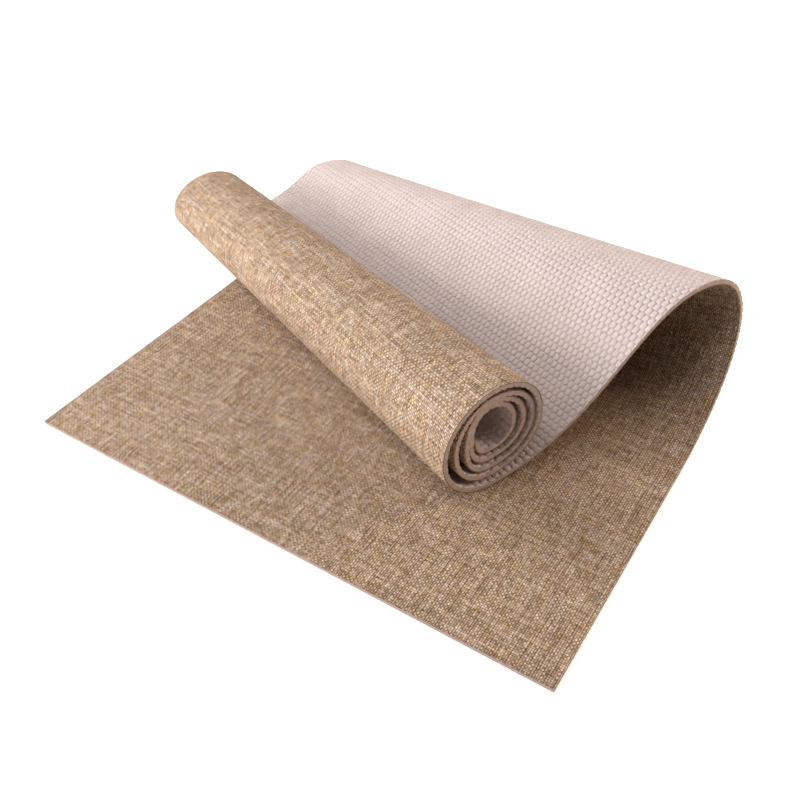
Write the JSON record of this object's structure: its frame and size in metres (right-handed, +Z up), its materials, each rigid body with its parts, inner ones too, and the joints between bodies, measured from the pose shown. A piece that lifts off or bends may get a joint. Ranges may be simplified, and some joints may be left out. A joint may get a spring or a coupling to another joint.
{
  "type": "yoga mat",
  "caption": "Exercise mat with a woven jute face on an embossed foam base, lying half unrolled: flat front part, turned-over fold and a loose roll lying askew.",
  "frame": {"origin": "middle of the bottom of the part's box, on the floor", "axes": "+X to the right along the front edge, +Y from the front edge to the fold at the back, +Z up"},
  "size_m": [0.7382, 0.6144, 0.1592],
  "materials": {
    "foam_base": "matt embossed foam",
    "jute_face": "plain woven jute cloth, bonded to the foam"
  },
  "bodies": {
    "root": {"foam_base": "foam_base", "jute_face": "jute_face"}
  },
  "joints": []
}
